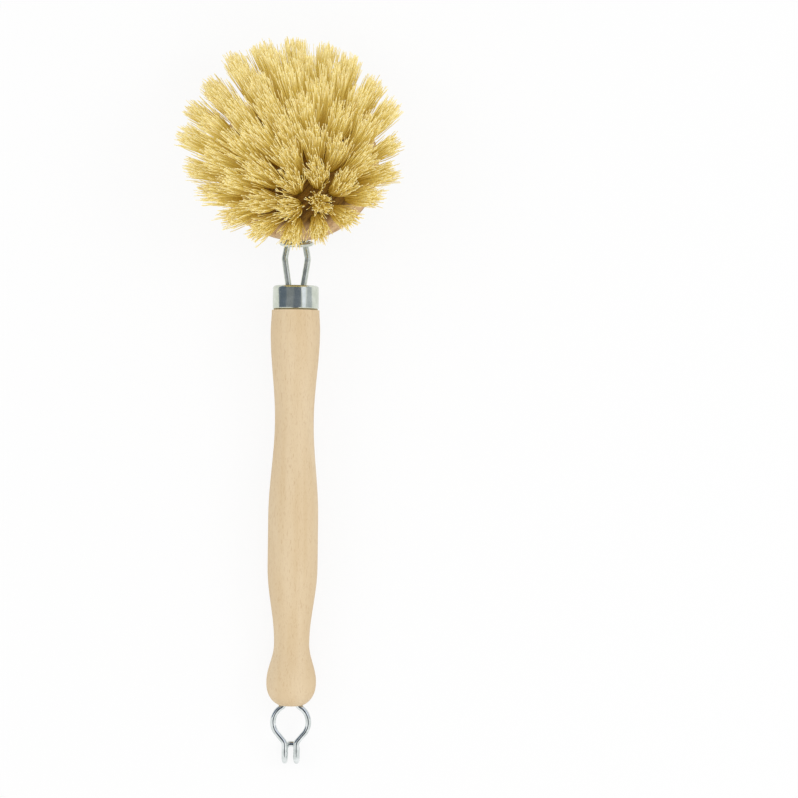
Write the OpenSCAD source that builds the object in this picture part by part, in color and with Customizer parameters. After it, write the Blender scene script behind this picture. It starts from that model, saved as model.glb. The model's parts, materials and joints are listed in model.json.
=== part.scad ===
// Dish brush: a turned wooden handle, a wire clip with its locking ring, a round tufted head
// that can be replaced, and a wire hook to hang it by. It lies on its back, bristles up.

/* [Handle] */
// Length of the wooden handle below its metal cap
handle_len = 131; // [128:1:150]
// Diameter of the shoulder under the cap
shoulder_d = 16.3; // [16:0.1:17]
// Diameter of the waist, where the thumb lies
waist_d = 12.8; // [12:0.1:14]
// Diameter of the belly, where the palm lies
belly_d = 16.5; // [15:0.1:18]
// Diameter of the thin neck above the ball end
nape_d = 11.6; // [11:0.1:13]
// Diameter of the ball end
ball_d = 16.4; // [16:0.1:18]

/* [Cap] */
// Outer diameter of the metal cap on the top of the handle
cap_d = 15.2; // [15:0.1:16]
// Height of the cap
cap_h = 8.1; // [7:0.1:9]
// Thickness of its sheet
cap_wall = 0.4; // [0.3:0.05:0.5]

/* [Clip] */
// Diameter of the clip's spring wire
clip_wire = 2.1; // [1.9:0.05:2.2]
// Length of the open neck between the bend under the head and the cap
neck_len = 14.9; // [14:0.1:17]
// Half the spacing of the neck's two wires under the head
neck_half = 2.85; // [2.7:0.05:2.95]
// Half the spacing of the two wires where the neck bulges
bulge_half = 3.8; // [3.6:0.05:4]
// Angle between the head's plane and the handle
head_tilt = 16; // [10:1:20]

/* [Ring] */
// Diameter of the locking ring's wire
ring_wire = 1.35; // [1.2:0.05:1.4]
// Inner diameter of the locking ring
ring_bore = 8.6; // [8.5:0.1:8.8]

/* [Head] */
// Diameter of the head's wooden block
block_d = 53.7; // [53:0.1:55]
// Diameter of the disc behind the wire's groove
disc_d = 44.4; // [44:0.1:45]
// Thickness of that disc
disc_h = 4.5; // [4:0.1:5]
// Height of the domed face above the middle of the groove
dome_top = 12.5; // [12:0.1:13]
// Radius of the domed face
dome_r = 50; // [48:1:54]

/* [Bristles] */
// Diameter of the holes that hold the tufts
hole_d = 4.2; // [4:0.05:4.3]
// Depth of the holes
hole_depth = 6; // [5.5:0.1:6.2]
// Strands in a tuft, with the one in its middle
strands = 8; // [6:1:9]
// How far the tufts lean to the left at their tips
comb = 1.2; // [0:0.1:2.4]
// How far their tips lean away from the handle
comb_out = 2; // [0:0.1:2.4]

/* [Hook] */
// Diameter of the hook's wire
hook_wire = 1.9; // [1.8:0.05:2]
// Radius of the hook's round loop, on the wire's middle
loop_r = 5.75; // [5.6:0.05:6]
// Distance from the handle's end to the middle of the loop
loop_drop = 4.9; // [4.8:0.05:5]

/* [Hidden] */
ROWS = 4;
$fn = 64;
wire_fn = 48;
bite = 0.1;     // how far a wire's straight runs go into its bends
hair = 0.01;    // how much thinner the runs are, all round
gap = 0.1;      // clearance of pieces that are held in one another
seam = 0.05;    // clearance of a tuft and its anchor

beech = "#e2c9a2";
head_beech = "#cda983";
fibre = "#ead79a";
plated = "#c3c9cc";

function ease(t) = (1 - cos(180 * t)) / 2;
function along(v, s) = lookup(s, [[0, v[0]], [0.5, v[1]], [1, v[2]]]);
function arc(cx, cy, r, from, to, steps) =
    [for (i = [0:steps]) let (a = from + (to - from) * i / steps) [cx + r * cos(a), cy + r * sin(a)]];

// Handle: radii at distances from its shoulder, eased from one to the next
ball_end = 8.4;     // from the ball's widest part to its end
ball_at = handle_len - ball_end;
shoulder_in = 0.3;  // how much narrower the shoulder is at the cap
stations = [
    [0, shoulder_d / 2 - shoulder_in], [6.8, shoulder_d / 2], [36.5, waist_d / 2], [68.5, belly_d / 2],
    [84.5, belly_d / 2], [110, nape_d / 2], [ball_at, ball_d / 2]
];
station_steps = 12;
ball_steps = 14;
ball_power = 2.3;   // 2 would be an ellipse; more is fuller
tenon_d = cap_d - 2 * cap_wall - gap;
tenon_h = cap_h - cap_wall - gap;
tenon_edge = 0.4;
cap_edge = 1;       // outer radius of the cap's rolled top edge
tail_half = 2.45;   // half the spacing of the clip's two tails in the handle
clip_bore = 2 * (tail_half + clip_wire / 2 + gap);
clip_bore_depth = 34;
clip_tail = 30;
hook_tail_half = 2.2;
hook_bore = 2 * (hook_tail_half + hook_wire / 2 + gap);
hook_bore_depth = 24;
hook_tail = 22;
hook_sink = 1.4;    // width of the countersink at the mouth of the hook's bore
shoulder_at = -neck_len - cap_h;

// Clip: the loop lies in the head's groove, and its bends come from the wire's own radii
loop_play = 0.1;
groove_h = clip_wire + 2 * loop_play;
groove_r = disc_d / 2 - 1.45;
clip_r = groove_r + loop_play + clip_wire / 2;
mouth_bend = 3;
tilt_bend = 4;
neck_bend = 2.5;
head_reach = 25.5;  // from the bend under the head to the head's middle
mouth_a = asin((neck_half + mouth_bend) / (clip_r + mouth_bend));
flare_at = 1.1;
bulge_at = 6;
flare_a = atan((bulge_half - neck_half) / (bulge_at - flare_at));
taper_a = atan((bulge_half - tail_half) / (neck_len - bulge_at));

// Ring
ring_r = ring_bore / 2 + ring_wire / 2;
ring_at = 1;        // below the bend under the head
ring_lean = 10;
ring_cut = 12;      // angle of the cut where its two ends meet

// Head: its frame has +Z towards the bristles and its origin in the middle of the groove
back_z = -groove_h / 2 - disc_h;
disc_edge = 0.3;    // its chamfer
foot_r = disc_d / 2 - disc_edge;
rim_z = 3.75;       // height of the rim's widest part
shoulder_r = 2.6;
rim_gap_a = 3;      // angle from the rim's front to the first point of the dome
dome_c = dome_top - dome_r;
// radius of the rim's front, tangent to the rim and to the dome
front_r = (pow(dome_r, 2) - pow(block_d / 2, 2) - pow(rim_z - dome_c, 2)) / (2 * dome_r - block_d);
front_a = atan2(rim_z - dome_c, block_d / 2 - front_r);
function dome(r) = dome_c + sqrt(pow(dome_r, 2) - r * r);

// Tufts: radius of the row, tufts in it, lean away from the middle, free length, turn of the row
tuft_rows = [
    [0, 1, 0, 24.5, 0],
    [6, 5, 9, 24, 54],
    [11.5, 10, 17.5, 23, 18],
    [17, 15, 26.5, 22, 6],
    [22, 20, 36, 20, 0]
];
root_proud = 0.8;   // how far the bound root of a tuft stands out of its hole
root_d = hole_d - 2 * seam;
strand_sink = 0.5;
strand_r = [0.55, 0.72, 0.5];   // at the root, halfway and at the tip
strand_turn = 50;
spread_r = [1.3, 2, 3.05];      // of the outer strands in a tuft, at the same places
comb_power = 1.6;               // more bends the strands nearer to their tips
ragged = 0.04;                  // share by which the strands' lengths differ
anchor = [3.7, 0.4, 1.6];       // a flat wire: its length, its thickness and its height
anchor_lift = 1;                // the folded fibres under it

// Hook
hook_bend = 1.8;
leg_half = 1.85;
leg_bend = 2.2;
slant = 40;
hook_u = 3;
leg_run = 2.7;
arch_run = 0.5;
hook_mouth_a = asin((hook_tail_half + hook_bend) / (loop_r + hook_bend));
hook_mouth_z = (loop_r + hook_bend) * cos(hook_mouth_a) - loop_drop;
slant_run = (loop_r * cos(slant) - leg_half - leg_bend * (1 - cos(slant))) / sin(slant);

// Lying: turned about X until the ball end and the far edge of the head's disc touch the table;
// the hook's bends reach it too
edge_y = (head_reach + foot_r) * cos(head_tilt) + back_z * sin(head_tilt);
edge_z = -(head_reach + foot_r) * sin(head_tilt) + back_z * cos(head_tilt);
ball_y = shoulder_at - ball_at;
lie_a = atan((-ball_d / 2 - edge_z) / (edge_y - ball_y));
lie_z = -(edge_y * sin(lie_a) + edge_z * cos(lie_a));
lie_y = 52.9;       // puts the origin under the middle of the whole brush

module lying() translate([0, lie_y, lie_z]) rotate([lie_a, 0, 0]) children();
// The handle's frame: +Z up the handle, +Y towards its back, origin at the bend under the head
module on_handle() lying() rotate([-90, 0, 0]) children();
module on_head() lying() rotate([-head_tilt, 0, 0]) translate([0, head_reach, 0]) children();

// A wire of diameter d that starts along +Z: each step is a straight run, a roll about the wire,
// and a bend towards +X by an angle at a radius. The runs bite into the bends, a hair thinner.
module bent_wire(d, steps, k = 0) {
    if (k < len(steps)) {
        run = steps[k][0];
        bend = steps[k][2];
        radius = steps[k][3];
        translate([0, 0, -bite]) cylinder(d = d - 2 * hair, h = run + 2 * bite, $fn = wire_fn);
        translate([0, 0, run]) rotate([0, 0, steps[k][1]]) {
            if (bend > 0) elbow(d, bend, radius);
            translate([radius, 0, 0]) rotate([0, bend, 0]) translate([-radius, 0, 0])
                bent_wire(d, steps, k + 1);
        }
    }
}

// A bend of the wire from +Z towards +X
module elbow(d, bend, radius) {
    translate([radius, 0, 0]) rotate([-90, 0, 0]) rotate([0, 0, 180])
        rotate_extrude(angle = bend, $fn = radius > 10 ? 2 * wire_fn : wire_fn)
            translate([radius, 0]) circle(d = d, $fn = wire_fn);
}

module handle() {
    outline = [
        [0, tenon_h], [tenon_d / 2 - tenon_edge, tenon_h],
        [tenon_d / 2, tenon_h - tenon_edge], [tenon_d / 2, 0],
        for (k = [1:len(stations) - 1], i = [(k == 1 ? 0 : 1):station_steps])
            let (t = i / station_steps, a = stations[k - 1], b = stations[k])
            if (a[1] != b[1] || i == station_steps)
                [a[1] + (b[1] - a[1]) * ease(t), -(a[0] + (b[0] - a[0]) * t)],
        for (i = [1:ball_steps])
            let (part = sin(90 * i / ball_steps), wide = pow(1 - pow(part, ball_power), 1 / ball_power))
            [ball_d / 2 * wide, -ball_at - ball_end * part]
    ];
    color(beech) on_handle() translate([0, 0, shoulder_at]) difference() {
        rotate_extrude() polygon(outline);
        translate([0, 0, tenon_h - clip_bore_depth]) cylinder(d = clip_bore, h = clip_bore_depth + 1);
        translate([0, 0, -handle_len - 1]) cylinder(d = hook_bore, h = hook_bore_depth + 1);
        translate([0, 0, -handle_len - 1])
            cylinder(d1 = hook_bore + 2 * (hook_sink + 1), d2 = hook_bore, h = hook_sink + 1);
    }
}

module cap() {
    hole = clip_bore / 2 + gap;
    edge_at = [cap_d / 2 - cap_edge, cap_h - cap_edge];
    outline = [
        [cap_d / 2, 0], each arc(edge_at[0], edge_at[1], cap_edge, 0, 90, 6),
        [hole, cap_h], [hole, cap_h - cap_wall],
        each arc(edge_at[0], edge_at[1], cap_edge - cap_wall, 90, 0, 6), [cap_d / 2 - cap_wall, 0]
    ];
    color(plated) on_handle() translate([0, 0, shoulder_at]) rotate_extrude() polygon(outline);
}

module head_clip() {
    // one half of the wire, from the far side of its loop round to its tail in the handle; each bend
    // takes a length off the runs beside it
    tilt_take = tilt_bend * tan(head_tilt / 2);
    flare_take = neck_bend * tan(flare_a / 2);
    bulge_take = neck_bend * tan((flare_a + taper_a) / 2);
    taper_take = neck_bend * tan(taper_a / 2);
    straight = head_reach - (clip_r + mouth_bend) * cos(mouth_a) - tilt_take;
    ring_run = flare_at - tilt_take - flare_take;
    flare_run = (bulge_at - flare_at) / cos(flare_a) - flare_take - bulge_take;
    taper_run = (neck_len - bulge_at) / cos(taper_a) - bulge_take - taper_take;
    steps = [
        [bite, 0, 180 - mouth_a, clip_r],
        [bite, 180, 90 - mouth_a, mouth_bend],
        [straight, -90, head_tilt, tilt_bend],
        [ring_run, 90, flare_a, neck_bend],
        [flare_run, 180, flare_a + taper_a, neck_bend],
        [taper_run, 180, taper_a, neck_bend],
        [clip_tail, 0, 0, 0]
    ];
    color(plated) on_head() for (side = [0, 1]) mirror([side, 0, 0])
        translate([0, clip_r, 0]) rotate([0, 90, 0]) rotate([0, 0, -90]) bent_wire(clip_wire, steps);
}

module locking_ring() {
    color(plated) on_handle() translate([0, 0, -ring_at]) rotate([ring_lean, 0, 0])
        rotate([0, 0, -90 + ring_cut / 2]) rotate_extrude(angle = 360 - ring_cut, $fn = wire_fn)
            translate([ring_r, 0]) circle(d = ring_wire, $fn = wire_fn);
}

module head_block() {
    outline = [
        [0, back_z], [foot_r, back_z], [disc_d / 2, back_z + disc_edge],
        [disc_d / 2, -groove_h / 2], [groove_r, -groove_h / 2], [groove_r, groove_h / 2],
        each arc(block_d / 2 - shoulder_r, groove_h / 2 + shoulder_r, shoulder_r, -90, 0, 8),
        each arc(block_d / 2 - front_r, rim_z, front_r, 0, front_a, 5),
        each arc(0, dome_c, dome_r, front_a + rim_gap_a, 90, 10)
    ];
    color(head_beech) on_head() difference() {
        rotate_extrude($fn = 2 * $fn) polygon(outline);
        for (row = tuft_rows) each_tuft(row)
            translate([0, 0, -hole_depth]) cylinder(d = hole_d, h = 1.5 * hole_depth, $fn = 32);
    }
}

// Draws its children at each hole of a row, with +Z out along the tuft
module each_tuft(row) {
    for (i = [0:row[1] - 1]) rotate([0, 0, row[4] + i * 360 / row[1]])
        translate([row[0], 0, dome(row[0])]) rotate([0, row[2], 0]) children();
}

// The anchor is a flat wire across the bottom of the hole, with the fibres folded round it
module anchor_bar(play = 0) {
    translate([0, 0, -hole_depth + anchor_lift + anchor[2] / 2])
        cube([anchor[0] + 2 * play, anchor[1] + 2 * play, anchor[2] + 2 * play], center = true);
}

module anchors(row) {
    color(plated) on_head() each_tuft(row) anchor_bar();
}

// Strand j of the tuft at turn a: each ring's middle moves out from the tuft's own axis, and its
// points lie round it, across the lean of the tuft
module strand(row, a, j) {
    lean = row[2];
    up = [0, 0, 1];
    out = [cos(a), sin(a), 0];
    side = [-sin(a), cos(a), 0];
    axis = out * sin(lean) + up * cos(lean);
    across = out * cos(lean) - up * sin(lean);
    low = root_proud - strand_sink;
    high = row[3] * (1 + ragged * sin(140 * j + 3 * a));
    bearing = a + 360 * j / (strands - 1);
    away = j == strands - 1 ? [0, 0, 0] : across * cos(bearing) + side * sin(bearing);
    points = [
        for (s = [0, 0.5, 1], k = [0:2]) let (t = 120 * k + strand_turn * j)
            out * row[0] + up * dome(row[0]) + axis * (low + (high - low) * s)
                + away * along(spread_r, s) + [-comb, comb_out, 0] * pow(s, comb_power)
                + (across * cos(t) + side * sin(t)) * along(strand_r, s)
    ];
    sides = [
        for (k = [0, 3], t = [0:2]) let (n = (t + 1) % 3)
            each [[k + t, k + n + 3, k + n], [k + t, k + t + 3, k + n + 3]]
    ];
    polyhedron(points, concat([[0, 1, 2], [8, 7, 6]], sides));
}

module tufts(row) {
    color(fibre) on_head() {
        each_tuft(row) difference() {
            translate([0, 0, seam - hole_depth])
                cylinder(d = root_d, h = hole_depth + root_proud - seam, $fn = 32);
            anchor_bar(seam);
        }
        for (i = [0:row[1] - 1], j = [0:strands - 1]) strand(row, row[4] + i * 360 / row[1], j);
    }
}

module hanging_hook() {
    steps = [
        [hook_tail - hook_mouth_z, 0, 90 - hook_mouth_a, hook_bend],
        [bite, 180, 90 + slant - hook_mouth_a, loop_r],
        [slant_run, 180, slant, leg_bend],
        [leg_run, -90, 180, hook_u],
        [arch_run, -90, 90, leg_half - bite],
        [bite, 0, 0, 0]
    ];
    color(plated) on_handle() for (side = [0, 1]) mirror([side, 0, 0])
        translate([hook_tail_half, 0, shoulder_at - handle_len + hook_tail]) rotate([180, 0, 0])
            bent_wire(hook_wire, steps);
}

handle();
cap();
head_clip();
locking_ring();
head_block();
hanging_hook();
tufts(tuft_rows[0]);  // tuft_centre
tufts(tuft_rows[1]);  // tufts_row_1
tufts(tuft_rows[2]);  // tufts_row_2
tufts(tuft_rows[3]);  // tufts_row_3
tufts(tuft_rows[4]);  // tufts_row_4
anchors(tuft_rows[0]);  // anchor_centre
anchors(tuft_rows[1]);  // anchors_row_1
anchors(tuft_rows[2]);  // anchors_row_2
anchors(tuft_rows[3]);  // anchors_row_3
anchors(tuft_rows[4]);  // anchors_row_4
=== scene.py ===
"""A dish brush on a pale table: turned beech handle, plated wire clip, round head of plant fibre.

It lies on its back, bristles up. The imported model's frame is in metres. Shapes and patterns are
worked out in millimetres here, and MM turns them into metres.
"""

import json
import math
from collections import namedtuple

import bmesh
import bpy
import numpy as np
from mathutils import Matrix, Vector


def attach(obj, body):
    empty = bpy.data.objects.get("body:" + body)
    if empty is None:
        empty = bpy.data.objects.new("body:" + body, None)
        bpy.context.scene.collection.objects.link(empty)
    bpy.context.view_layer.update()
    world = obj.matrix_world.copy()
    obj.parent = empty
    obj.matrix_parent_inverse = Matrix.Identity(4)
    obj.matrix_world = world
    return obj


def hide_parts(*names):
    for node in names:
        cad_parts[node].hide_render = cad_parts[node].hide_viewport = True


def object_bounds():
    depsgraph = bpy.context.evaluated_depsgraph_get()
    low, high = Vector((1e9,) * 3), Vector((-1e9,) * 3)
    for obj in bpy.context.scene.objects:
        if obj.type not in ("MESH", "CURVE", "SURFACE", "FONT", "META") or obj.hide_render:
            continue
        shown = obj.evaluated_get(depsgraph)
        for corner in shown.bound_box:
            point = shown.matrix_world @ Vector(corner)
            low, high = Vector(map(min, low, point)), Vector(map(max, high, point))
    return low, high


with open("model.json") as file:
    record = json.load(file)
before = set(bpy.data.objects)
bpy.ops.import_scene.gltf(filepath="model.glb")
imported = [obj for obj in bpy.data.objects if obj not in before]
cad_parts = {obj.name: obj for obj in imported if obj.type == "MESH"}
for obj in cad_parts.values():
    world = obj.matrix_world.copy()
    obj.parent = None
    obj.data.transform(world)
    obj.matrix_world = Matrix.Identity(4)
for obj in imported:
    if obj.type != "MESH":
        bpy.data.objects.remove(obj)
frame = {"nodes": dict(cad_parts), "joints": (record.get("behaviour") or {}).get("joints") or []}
cad_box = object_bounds()

MM = 0.001


# ---------------------------------------------------------------- where the pieces are

joints = {joint["name"]: joint for joint in frame["joints"]}
ACROSS = Vector((1, 0, 0))
HANDLE_UP = -Vector(joints["ring_slide"]["axis"]).normalized()
HANDLE_FACE = ACROSS.cross(HANDLE_UP)
HEAD_MIDDLE = Vector(joints["head_turn"]["pos_m"])
HEAD_UP = Vector(joints["head_turn"]["axis"]).normalized()
HEAD_OUT = HEAD_UP.cross(ACROSS)
HEAD_REACH = 25.5 * MM          # from the head's middle to the wire's bend under its rim
NECK_BEND = HEAD_MIDDLE - HEAD_OUT * HEAD_REACH


# ---------------------------------------------------------------- the camera

PHOTO_SIDE = 798                # pixels
PIXEL = 0.33 * MM               # what a pixel of the photograph spans at the handle
CAMERA_FAR = 780 * MM
CLIP_START = 10 * MM
SENSOR = 36                     # mm, as lenses are given
HANDLE_PIXEL = 294.6            # the handle's middle, at half the picture's height
BEND_PIXEL = 240.5              # the wire's bend under the head, down the picture
HANDLE_LEAN = math.radians(0.7)


def set_camera():
    middle = PHOTO_SIDE / 2
    picture_up = HANDLE_UP * math.cos(HANDLE_LEAN) - ACROSS * math.sin(HANDLE_LEAN)
    picture_right = picture_up.cross(HANDLE_FACE)
    below_bend = (middle - BEND_PIXEL) * PIXEL
    beside_handle = (middle - HANDLE_PIXEL) * PIXEL
    aim = NECK_BEND - HANDLE_UP * below_bend + picture_right * beside_handle
    lens = bpy.data.cameras.new("camera")
    lens.sensor_width = SENSOR
    lens.lens = SENSOR * CAMERA_FAR / (PHOTO_SIDE * PIXEL)
    lens.clip_start = CLIP_START
    camera = bpy.data.objects.new("camera", lens)
    turn = Matrix((picture_right, picture_up, HANDLE_FACE)).transposed().to_4x4()
    camera.matrix_world = Matrix.Translation(aim + HANDLE_FACE * CAMERA_FAR) @ turn
    bpy.context.collection.objects.link(camera)
    bpy.context.scene.camera = camera


set_camera()


# ---------------------------------------------------------------- sums on a surface

class Field:
    """A number or a colour that varies over a surface, so that sums on it read as Python."""

    def __init__(self, paint, socket):
        self.paint = paint
        self.socket = socket

    def sum(self, operation, *values):
        return self.paint.node("Math", {"operation": operation}, *values)

    def __add__(self, other):
        return self.sum("ADD", self, other)

    def __sub__(self, other):
        return self.sum("SUBTRACT", self, other)

    def __rsub__(self, other):
        return self.sum("SUBTRACT", other, self)

    def __mul__(self, other):
        return self.sum("MULTIPLY", self, other)

    __radd__ = __add__
    __rmul__ = __mul__

    def within(self, low, high):
        """0 below low, 1 above high, and smooth in between."""
        settings = {"interpolation_type": "SMOOTHSTEP"}
        return self.paint.node("MapRange", settings, self, low, high, 0.0, 1.0)


class Paint:
    """A material, or the world, that is put together node by node."""

    def __init__(self, tree):
        self.tree = tree
        self.tree.nodes.clear()

    def fill(self, sockets):
        """Gives each socket its value, or links it to the field that it is given."""
        for socket, value in sockets:
            if isinstance(value, Field):
                self.tree.links.new(value.socket, socket)
            else:
                socket.default_value = value

    def node(self, kind, settings=None, *values, out=0, **named):
        """Makes a node: first its settings, then what its sockets get, by place or by name."""
        made = self.tree.nodes.new("ShaderNode" + kind)
        for key, value in (settings or {}).items():
            setattr(made, key, value)
        self.fill((made.inputs[place], value) for place, value in enumerate(values))
        self.fill((made.inputs[key.replace("_", " ")], value) for key, value in named.items())
        return Field(self, made.outputs[out]) if made.outputs else None

    def blend(self, share, low, high):
        """From the colour low to the colour high, as share goes from 0 to 1."""
        made = self.tree.nodes.new("ShaderNodeMix")
        made.data_type = "RGBA"
        factor, first, second = (made.inputs[place] for place in (0, 6, 7))
        self.fill([(factor, share), (first, low), (second, high)])
        return Field(self, made.outputs[2])

    def vector(self, operation, *values, out="Vector"):
        return self.node("VectorMath", {"operation": operation}, *values, out=out)

    def place(self, *directions, origin=Vector()):
        """How far each point of the surface is from origin along each direction, in mm."""
        here = self.node("TexCoord", out="Object")
        along = [self.vector("DOT_PRODUCT", here, tuple(direction / MM), out="Value")
                 for direction in directions]
        start = tuple(origin.dot(direction) / MM for direction in directions)
        return self.vector("SUBTRACT", self.node("CombineXYZ", None, *along), start)

    def stretched(self, place, scales):
        return self.vector("MULTIPLY", place, scales)

    def noise(self, place, scale=1.0, detail=2.0, roughness=0.5):
        return self.node("TexNoise", None,
                         Vector=place, Scale=scale, Detail=detail, Roughness=roughness)

    def bump(self, height, strength, distance):
        return self.node("Bump", None, Strength=strength, Distance=distance, Height=height)


def colour(red, green, blue):
    """A colour as a picture gives it, 0 to 255, in the linear numbers that a node takes."""
    def linear(level):
        level /= 255
        return level / 12.92 if level <= 0.04045 else ((level + 0.055) / 1.055) ** 2.4
    return linear(red), linear(green), linear(blue), 1.0


def new_material(name):
    material = bpy.data.materials.new(name)
    material.use_nodes = True
    return material, Paint(material.node_tree)


def finish(paint, **named):
    shader = paint.node("BsdfPrincipled", None, **named)
    paint.node("OutputMaterial", None, shader)


# ---------------------------------------------------------------- finishes

TUFTED = (21.0, 25.0)           # mm from the head's middle, where the tufts thin out and end
FACE = (4.0, 6.5)               # mm above it, where the sides give way to the domed face
WOOD_RELIEF = 0.08 * MM
LINE_RELIEF = 0.003             # mm
PRESSED = (0.4, 6.0, 0.4)       # scales of the lines that run round a pressed cap
DRAWN = (3.0, 0.3, 3.0)         # and of those that run along a drawn wire
GLOW = 0.12                     # of the fibres, for the light that passes through them


def between_tufts(paint):
    """1 on the head's face among the tufts, 0 on its rim, sides and back."""
    place = paint.place(ACROSS, HEAD_OUT, HEAD_UP, origin=HEAD_MIDDLE)
    radius = paint.vector("LENGTH", paint.stretched(place, (1.0, 1.0, 0.0)), out="Value")
    high = paint.vector("DOT_PRODUCT", place, (0.0, 0.0, 1.0), out="Value")
    return (1.0 - radius.within(*TUFTED)) * high.within(*FACE)


def beech(name, origin, grain, flat, pale, warm, pore,
          streaks, streak_share, fleck_share, painted_shade=None):
    """Beech with warm streaks, small dark flecks and pores.

    grain is the direction that it runs in, and flat the one across the boards' face. streaks is
    how close the streaks lie, and the two shares are how much streaks and flecks show. The last
    argument gives two colours of painted shade for the head's face deep among the tufts.
    """
    material, paint = new_material(name)
    place = paint.place(grain, flat, grain.cross(flat), origin=origin)
    # each pattern's scale along the grain, across the face and into the depth
    wander = paint.noise(paint.stretched(place, (0.03, 0.12, 0.12)))
    rings = paint.noise(paint.stretched(place, (0.012, streaks, streaks * 0.7)), detail=3.0)
    fibre = paint.noise(paint.stretched(place, (0.16, 5.0, 5.0)), detail=3.0, roughness=0.6)
    flecks = paint.noise(paint.stretched(place, (0.42, 2.6, 1.6)), detail=1.0).within(0.60, 0.70)
    pores = paint.noise(paint.stretched(place, (0.9, 9.0, 9.0)), detail=0.0).within(0.66, 0.76)
    streaked = rings.within(0.36, 0.66) * streak_share
    clouded = wander.within(0.3, 0.7) * (0.9 - streak_share)
    base = paint.blend(streaked + clouded + fibre * 0.2, pale, warm)
    base = paint.blend(flecks * fleck_share, base, pore)
    base = paint.blend(pores * (fleck_share * 1.3), base, pore)
    # painted shade: the head's face between the tufts is darkened, for the shade deep among them
    if painted_shade:
        base = paint.blend(between_tufts(paint), base, paint.blend(rings.within(0.4, 0.6), *painted_shade))
    height = fibre * 0.5 + rings * 0.3 - pores * 0.8 - flecks * 0.2
    finish(paint, Base_Color=base, Roughness=0.48 + fibre * 0.2, Specular_IOR_Level=0.35,
           Normal=paint.bump(height, 0.35, WOOD_RELIEF))
    return material


def plated(name, dull, bright, blur, mottle, line_scales):
    """Zinc-plated steel, a little uneven, with the faint lines that drawing or pressing left."""
    material, paint = new_material(name)
    place = paint.place(ACROSS, HANDLE_UP, HANDLE_FACE)
    clouds = paint.noise(place, scale=mottle, detail=3.0)
    lines = paint.noise(paint.stretched(place, line_scales))
    base = paint.blend(clouds.within(0.3, 0.75), dull, bright)
    height = (lines + clouds * 0.3) * LINE_RELIEF
    finish(paint, Base_Color=base, Metallic=1.0, Roughness=blur + clouds * 0.06 + lines * 0.04,
           Normal=paint.bump(height, 1.0, MM))
    return material


def plain_steel(name):
    material, paint = new_material(name)
    clouds = paint.noise(paint.place(ACROSS, HEAD_OUT, HEAD_UP), scale=1.5)
    finish(paint, Base_Color=colour(168, 170, 172), Metallic=1.0, Roughness=0.3 + clouds * 0.2)
    return material


def plant_fibre(name):
    """Each fibre has a tone of its own and is pale at its cut tip; towards its root it is
    painted darker and more golden, as shade deep in the tuft.

    A faint glow stands for the light that passes through the fibres and reaches down among them.
    """
    material, paint = new_material(name)
    along = paint.node("Attribute", {"attribute_name": "along"}, out="Fac")
    tone = paint.node("Attribute", {"attribute_name": "tone"}, out="Fac")
    # painted shade: darker and more golden towards the root, where the tuft shades its own fibres
    straw_and_shade = paint.blend(along.within(0.1, 0.75), colour(215, 181, 74), colour(241, 222, 133))
    straw_and_shade = paint.blend(along.within(0.75, 1.0), straw_and_shade, colour(250, 239, 191))
    straw_and_shade = paint.blend(tone.within(0.0, 0.5) * 0.34, straw_and_shade, colour(250, 241, 197))
    straw_and_shade = paint.blend(tone.within(0.7, 0.95) * 0.34, straw_and_shade, colour(200, 158, 60))
    through = paint.blend(along.within(0.1, 0.8), colour(196, 168, 46), colour(216, 204, 124))
    through = paint.blend(along.within(0.8, 1.0), through, colour(232, 222, 152))
    finish(paint, Base_Color=straw_and_shade, Roughness=0.5 + tone * 0.15, Specular_IOR_Level=0.2,
           Emission_Color=through, Emission_Strength=GLOW)
    return material


GRAIN_TURN = math.radians(50)   # of the head's grain, away from ACROSS
disc_grain = (ACROSS * math.cos(GRAIN_TURN) + HEAD_OUT * math.sin(GRAIN_TURN)).normalized()
FINISHES = {
    "handle": beech(
        "beech_handle", NECK_BEND, HANDLE_UP, ACROSS,
        pale=colour(225, 204, 170), warm=colour(215, 190, 151), pore=colour(186, 148, 106),
        streaks=0.42, streak_share=0.3, fleck_share=0.26),
    "head_block": beech(
        "beech_head", HEAD_MIDDLE, disc_grain, HEAD_UP.cross(disc_grain),
        pale=colour(220, 192, 150), warm=colour(186, 150, 110), pore=colour(150, 112, 78),
        streaks=0.9, streak_share=0.7, fleck_share=0.5,
        # two colours of painted shade for the face between the tufts
        painted_shade=(colour(158, 124, 54), colour(112, 82, 32))),
    "cap": plated(
        "plated_cap", dull=colour(202, 208, 195), bright=colour(218, 223, 212),
        blur=0.12, mottle=0.35, line_scales=PRESSED),
    "head_clip": plated(
        "plated_wire", dull=colour(198, 204, 190), bright=colour(228, 231, 222),
        blur=0.24, mottle=0.6, line_scales=DRAWN),
    "hanging_hook": plated(
        "plated_hook", dull=colour(206, 212, 210), bright=colour(236, 240, 240),
        blur=0.06, mottle=0.6, line_scales=DRAWN),
    "anchor": plain_steel("anchor_steel"),
    "fibre": plant_fibre("plant_fibre"),
}


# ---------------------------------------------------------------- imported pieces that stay

FINISH_OF = {
    "handle": "handle", "head_clip": "head_clip", "locking_ring": "head_clip",
    "hanging_hook": "hanging_hook", "head_block": "head_block",
}

for node, piece in frame["nodes"].items():
    finish_name = "anchor" if node.startswith("anchor") else FINISH_OF.get(node)
    if finish_name:
        piece.data.materials.clear()
        piece.data.materials.append(FINISHES[finish_name])


# ---------------------------------------------------------------- the cap's turned edge

EDGE = 0.7                      # mm, how high the edge begins to turn in
EDGE_DEPTH = 0.4                # mm
EDGE_CUTS = (0.12, 0.24, 0.36, 0.48, 0.6, EDGE, 0.78)   # mm above the foot
WALL_TOP = 6.95                 # mm, just under the rolled top edge, where the straight wall ends
WALL_SLACK = 0.05 * MM          # how far inside its widest the outer wall still is
WELD = 0.001 * MM
SHARP = math.radians(35)        # faces that meet at more than this keep an edge


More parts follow.
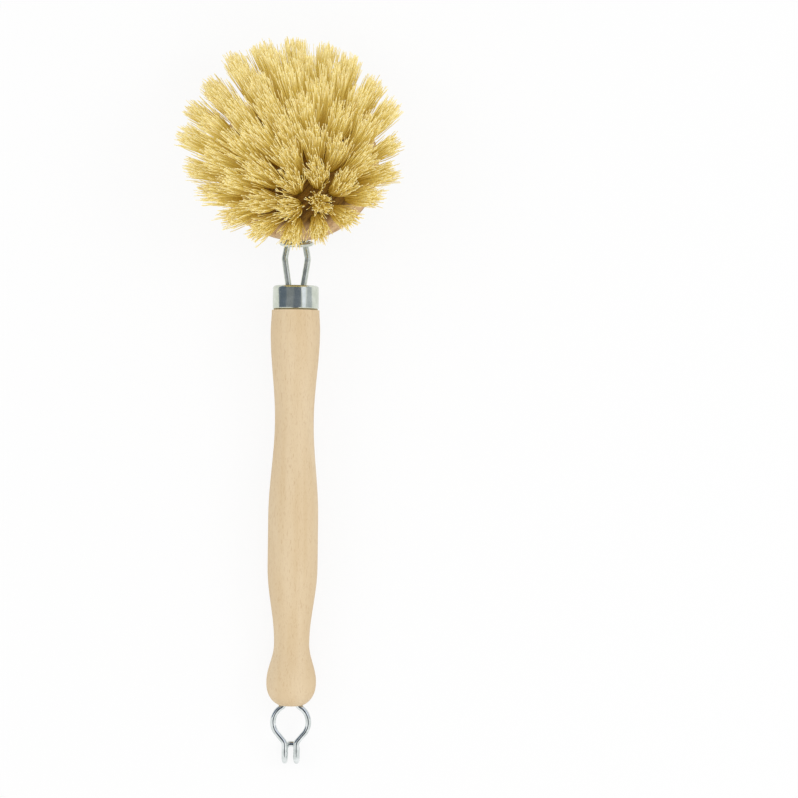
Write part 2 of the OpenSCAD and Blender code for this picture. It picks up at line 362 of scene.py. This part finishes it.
def turned_cap():
    """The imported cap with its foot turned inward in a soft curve, as pressing leaves it."""
    mesh = bmesh.new()
    mesh.from_mesh(frame["nodes"]["cap"].data)
    bmesh.ops.remove_doubles(mesh, verts=mesh.verts, dist=WELD)
    foot = min(HANDLE_UP.dot(vertex.co) for vertex in mesh.verts)
    for cut in EDGE_CUTS + (WALL_TOP,):
        everything = [*mesh.verts, *mesh.edges, *mesh.faces]
        bmesh.ops.bisect_plane(mesh, geom=everything, dist=WELD,
                               plane_co=HANDLE_UP * (foot + cut * MM), plane_no=HANDLE_UP)
    low = [vertex for vertex in mesh.verts if HANDLE_UP.dot(vertex.co) < foot + EDGE * MM]
    fronts = [HANDLE_FACE.dot(vertex.co) for vertex in low]
    middle = (min(fronts) + max(fronts)) / 2
    reach = max(abs(vertex.co.x) for vertex in low)
    for vertex in low:
        high = (HANDLE_UP.dot(vertex.co) - foot) / (EDGE * MM)
        out = vertex.co - HANDLE_UP * HANDLE_UP.dot(vertex.co) - HANDLE_FACE * middle
        if out.length > reach - WALL_SLACK:
            turned = 1 - high * high * (3 - 2 * high)
            vertex.co -= out.normalized() * EDGE_DEPTH * MM * turned
    data = bpy.data.meshes.new("turned_cap")
    mesh.to_mesh(data)
    mesh.free()
    data.attributes.remove(data.attributes["custom_normal"])
    data.shade_smooth()
    data.set_sharp_from_angle(angle=SHARP)
    data.materials.append(FINISHES["cap"])
    piece = bpy.data.objects.new("turned_cap", data)
    bpy.context.collection.objects.link(piece)
    return piece


cap = turned_cap()
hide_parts("cap")
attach(cap, "handle")


# ---------------------------------------------------------------- the tufts

DOME_R = 50.0                   # mm, of the head's face
DOME_TOP = 12.5                 # mm above the head's middle

# radius and length are in mm, and lean, away from the head's middle, and the row's turn in
# degrees; flare is how many times wider a tuft is at its tips than at its hole
Row = namedtuple("Row", "radius tufts lean length turn flare")
TUFT_ROWS = {
    "centre": Row(0.0, 1, 0.0, 24.5, 0.0, 2.3),
    "row_1": Row(6.0, 5, 9.0, 24.0, 54.0, 2.3),
    "row_2": Row(11.5, 10, 17.5, 23.0, 18.0, 2.3),
    "row_3": Row(17.0, 15, 26.5, 22.0, 6.0, 2.2),
    "row_4": Row(22.0, 20, 36.0, 20.1, 0.0, 1.95),
}

FIBRES = 130                    # in a tuft
BOUND_R = 1.85                  # mm, of a tuft in its hole
ROOT_DEPTH = 3.2                # mm, how deep in its hole a fibre shows from
DOMED = 0.5                     # mm, how much shorter the outer fibres of a tuft are
RAGGED = 0.85                   # mm, how much the fibres' lengths differ
RAGGED_RANGE = (-3.0, 0.9)      # times that, shortest and longest

# of a tuft: how wide its tip is one way and how narrow the other, its size, and its lean in mm
SQUEEZE = (0.86, 1.12)
SIZE = (0.88, 1.1)
TIP_LEAN, TIP_LEAN_MOST = 0.8, 1.1
TIP_LEAN_POWER = 1.7
COMB = np.array([-2.3, 1.3, 0.0])   # mm, how far the tips lean left and away from the handle
COMBED = 22.0                   # mm, the length of a tuft that leans by just that
COMB_POWER = 4                  # a longer tuft leans more
COMB_BEND = 1.6

# of a fibre's tip, in radii of the tuft's: how far out it is, and how far out the strays are
SPLAY = (0.75, 1.15)
SPLAY_SPREAD = 0.24
STRAYS = 0.08                   # share of the fibres
STRAY_SPLAY = (1.1, 1.45)
FARTHEST = 1.3

# of a fibre, in mm: its shape between root and tip, and its radius along the way
BOW = 0.3
WAVE = 0.12
CURL, CURL_MOST = 0.4, 1.0
CURL_POWER = 3
FIBRE_R = (0.12, 0.2)           # thinnest and thickest
TAPER = ([0, 0.3, 1], [0.9, 1.0, 0.8])
SIDES = 3
RINGS = np.array([0.0, 0.16, 0.4, 0.64, 0.86, 1.0])
GOLDEN_ANGLE = math.pi * (3 - math.sqrt(5))

rng = np.random.default_rng(51)


def dome(radius):
    return DOME_TOP - DOME_R + math.sqrt(DOME_R ** 2 - radius ** 2)


def tuft_fibres(row, bearing):
    """Middle lines of one tuft's fibres, in the head's own frame in mm: [fibre, ring, xyz]."""
    lean = math.radians(row.lean)
    out = np.array([math.cos(bearing), math.sin(bearing), 0.0])
    side = np.array([-math.sin(bearing), math.cos(bearing), 0.0])
    up = np.array([0.0, 0.0, 1.0])
    axis = out * math.sin(lean) + up * math.cos(lean)
    across = out * math.cos(lean) - up * math.sin(lean)

    # places in the bound root, evenly over a disc, and the same order of places at the tips
    number = np.arange(FIBRES) + 0.5
    spread = np.sqrt(number / FIBRES)
    turn = number * GOLDEN_ANGLE + rng.uniform(0, 2 * math.pi)
    disc = spread[:, None] * np.stack([np.cos(turn), np.sin(turn)], 1)
    splay = disc * rng.uniform(*SPLAY, (FIBRES, 1)) + rng.normal(0, SPLAY_SPREAD, (FIBRES, 2))
    strays = rng.random(FIBRES) < STRAYS
    splay[strays] *= rng.uniform(*STRAY_SPLAY, (strays.sum(), 1))
    splay *= np.minimum(1.0, FARTHEST / np.linalg.norm(splay, axis=1, keepdims=True))
    squeeze = rng.uniform(*SQUEEZE)
    splay *= np.array([squeeze, 1 / squeeze]) * row.flare * rng.uniform(*SIZE)
    tip_lean = rng.normal(0, TIP_LEAN, 2).clip(-TIP_LEAN_MOST, TIP_LEAN_MOST)
    bow = rng.normal(0, BOW, (FIBRES, 2))
    wave = rng.normal(0, WAVE, (FIBRES, 2))
    curl = rng.normal(0, CURL, (FIBRES, 2)).clip(-CURL_MOST, CURL_MOST)

    s = RINGS[None, :, None]
    wide = BOUND_R * (disc[:, None] * (1 - s) + splay[:, None] * s)
    wide = wide + bow[:, None] * np.sin(math.pi * s) + wave[:, None] * np.sin(2 * math.pi * s)
    wide = wide + tip_lean * s ** TIP_LEAN_POWER + curl[:, None] * s ** CURL_POWER
    ragged = RAGGED * rng.normal(0, 1, FIBRES).clip(*RAGGED_RANGE)
    long = row.length + ragged - DOMED * spread ** 2
    high = -ROOT_DEPTH + (long[:, None] + ROOT_DEPTH) * RINGS[None]
    foot = out * row.radius + up * dome(row.radius)
    line = foot + axis * high[..., None] + across * wide[..., :1] + side * wide[..., 1:]
    line = line + COMB * (row.length / COMBED) ** COMB_POWER * s ** COMB_BEND
    return line, across, side


def fibre_piece(name, row):
    """All fibres of one row of tufts, each a thin prism with closed ends."""
    lines, sides = [], []
    for k in range(row.tufts):
        line, across, side = tuft_fibres(row, math.radians(row.turn + k * 360 / row.tufts))
        lines.append(line)
        sides.append(np.broadcast_to(np.stack([across, side]), (FIBRES, 2, 3)))
    lines, sides = np.concatenate(lines), np.concatenate(sides)
    total = len(lines)
    thick = rng.uniform(*FIBRE_R, total)
    roll = rng.uniform(0, 2 * math.pi, total)
    tone = rng.random(total)

    corner = roll[:, None] + np.arange(SIDES) * 2 * math.pi / SIDES
    reach = (np.cos(corner)[..., None] * sides[:, None, 0]
             + np.sin(corner)[..., None] * sides[:, None, 1])
    radius = thick[:, None, None] * np.interp(RINGS, *TAPER)[None, :, None]
    points = lines[:, :, None] + reach[:, None] * radius[..., None]
    to_world = np.array(Matrix((ACROSS, HEAD_OUT, HEAD_UP)))
    points = points.reshape(-1, 3) @ to_world * MM + np.array(HEAD_MIDDLE)

    here = np.arange(SIDES) + np.arange(len(RINGS) - 1)[:, None] * SIDES
    after = (np.arange(SIDES) + 1) % SIDES + np.arange(len(RINGS) - 1)[:, None] * SIDES
    walls = np.stack([here, after, after + SIDES, here + SIDES], -1).reshape(-1, 4)
    ends = np.stack([here[0][::-1], here[-1] + SIDES])
    first = (np.arange(total) * len(RINGS) * SIDES)[:, None, None]

    mesh = bpy.data.meshes.new(name)
    faces = (walls + first).reshape(-1, 4).tolist() + (ends + first).reshape(-1, SIDES).tolist()
    mesh.from_pydata(points.tolist(), [], faces)
    for attribute, values in (("along", np.tile(np.repeat(RINGS, SIDES), total)),
                              ("tone", np.repeat(tone, len(RINGS) * SIDES))):
        mesh.attributes.new(attribute, "FLOAT", "POINT").data.foreach_set("value", values)
    add_bake_map(mesh, total)
    mesh.materials.append(FINISHES["fibre"])
    piece = bpy.data.objects.new(name, mesh)
    bpy.context.collection.objects.link(piece)
    return piece


CELL_EDGE = 0.02                # share of a fibre's cell that stays empty along each edge
WALL_EDGE = 0.08                # and of a wall's part of the cell
END_R = 0.4


def add_bake_map(mesh, total):
    """Lays each fibre flat in a cell of its own: a column for each side, a row for each stretch."""
    cells = math.ceil(math.sqrt(total))
    stretches = len(RINGS) - 1
    low, left = np.divmod(np.arange(stretches * SIDES), SIDES)
    near, far = WALL_EDGE, 1 - WALL_EDGE
    corners = [[near, near], [far, near], [far, far], [near, far]]
    walls = np.stack([left, low], 1)[:, None] + corners
    turn = np.arange(SIDES) * 2 * math.pi / SIDES
    round_end = END_R * np.stack([np.cos(turn), np.sin(turn)], 1)
    ends = np.array([[[0.5, stretches + 0.5]], [[1.5, stretches + 0.5]]]) + round_end
    cell = np.stack([np.arange(total) % cells, np.arange(total) // cells], 1)[:, None, None]
    inside = (1 - 2 * CELL_EDGE) / np.array([SIDES, stretches + 1])
    spots = [((cell + CELL_EDGE + shape * inside) / cells).ravel() for shape in (walls, ends)]
    mesh.uv_layers.new(name="OFBake").data.foreach_set("uv", np.concatenate(spots))


for row_name, row in TUFT_ROWS.items():
    fibres = fibre_piece("fibres_" + row_name, row)
    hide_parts("tuft_centre" if row_name == "centre" else "tufts_" + row_name)
    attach(fibres, "head")


# ---------------------------------------------------------------- table and light, in metres

WHITE = (1.0, 1.0, 1.0, 1.0)
TABLE_GREY = (0.88, 0.88, 0.88, 1.0)
TABLE_WHITE_SHARE = 0.86        # of what the camera sees of the table; the rest holds the shadow
TABLE_HALF = 4.0
ROOM_LIGHT = 0.85               # what the room gives the brush; the camera sees it as 1
HANGS_ALONG = (-0.06, 0.8)
UNSEEN_BY = ("camera", "diffuse", "shadow", "transmission", "volume_scatter")


def seen_directly(paint):
    """1 for what the camera sees, also in metal or through glass."""
    path = paint.node("LightPath").socket.node
    camera, glossy, through = (Field(paint, path.outputs[name]) for name in
                               ("Is Camera Ray", "Is Glossy Ray", "Is Transmission Ray"))
    return camera.sum("MAXIMUM", camera, glossy.sum("MAXIMUM", glossy, through))


def panel(name, corners, material):
    mesh = bpy.data.meshes.new(name)
    mesh.from_pydata(corners, [], [(0, 1, 2, 3)])
    mesh.materials.append(material)
    made = bpy.data.objects.new(name, mesh)
    bpy.context.collection.objects.link(made)
    return made


def lay_table():
    material, paint = new_material("table")
    matt = paint.node("BsdfDiffuse", None, Color=TABLE_GREY)
    white = paint.node("Emission", None, Color=WHITE, Strength=1.0)
    both = paint.node("MixShader", None, seen_directly(paint) * TABLE_WHITE_SHARE, matt, white)
    paint.node("OutputMaterial", None, both)
    near, far = -TABLE_HALF, TABLE_HALF
    table = panel("table", [(near, near, 0), (far, near, 0), (far, far, 0), (near, far, 0)],
                  material)
    table.location.z = cad_box[0][2]


def light_room():
    bpy.context.scene.view_settings.view_transform = "Standard"
    world = bpy.data.worlds.new("room")
    bpy.context.scene.world = world
    world.use_nodes = True
    paint = Paint(world.node_tree)
    strength = ROOM_LIGHT + seen_directly(paint) * (1 - ROOM_LIGHT)
    paint.node("OutputWorld", None, paint.node("Background", None, WHITE, strength))


def hang_lamp(name, place, aim, width, power):
    """A soft lamp that metal does not reflect: the room and the flags make its highlights."""
    light = bpy.data.lights.new(name, "AREA")
    light.shape = "SQUARE"
    light.size = width
    light.energy = power
    lamp = bpy.data.objects.new(name, light)
    lamp.location = place
    lamp.rotation_euler = (Vector(aim) - Vector(place)).to_track_quat("-Z", "Y").to_euler()
    lamp.visible_glossy = False
    bpy.context.collection.objects.link(lamp)


def hang_flag(name, start, end, shade, along=HANGS_ALONG):
    """A panel over the table that only metal reflects. It hangs from start to end, as (x, z).

    along is where it begins and ends in y.
    """
    material, paint = new_material(name)
    paint.node("OutputMaterial", None, paint.node("Emission", None, Color=shade, Strength=1.0))
    foot, head = along
    flag = panel(name, [(start[0], foot, start[1]), (start[0], head, start[1]),
                        (end[0], head, end[1]), (end[0], foot, end[1])], material)
    for ray in UNSEEN_BY:
        setattr(flag, "visible_" + ray, False)


lay_table()
light_room()
hang_lamp("lamp_left", (-0.75, 0.1, 0.75), aim=(0, 0, 0), width=0.5, power=1.15)
hang_lamp("lamp_right", (0.62, 0.1, 0.62), aim=(0, 0, 0), width=0.3, power=1.05)
hang_lamp("lamp_foot", (0.2, -0.7, 0.8), aim=(0, 0.05, 0), width=0.5, power=1.3)
hang_flag("flag_left", (-0.6, 0.0), (-0.6, 0.6), colour(108, 119, 137))
hang_flag("flag_over", (-0.6, 0.6), (-0.08, 0.6), colour(141, 145, 154))
hang_flag("flag_middle", (-0.08, 0.6), (0.33, 0.58), colour(113, 120, 134))
hang_flag("card_right", (0.36, 0.56), (0.62, 0.48), (1.1, 1.12, 1.3, 1.0))
hang_flag("flag_low", (0.7, 0.48), (0.7, 0.02), colour(196, 200, 210))
hang_flag("flag_foot", (-0.16, 0.6), (0.2, 0.6), colour(66, 74, 82), along=(-0.8, -0.07))
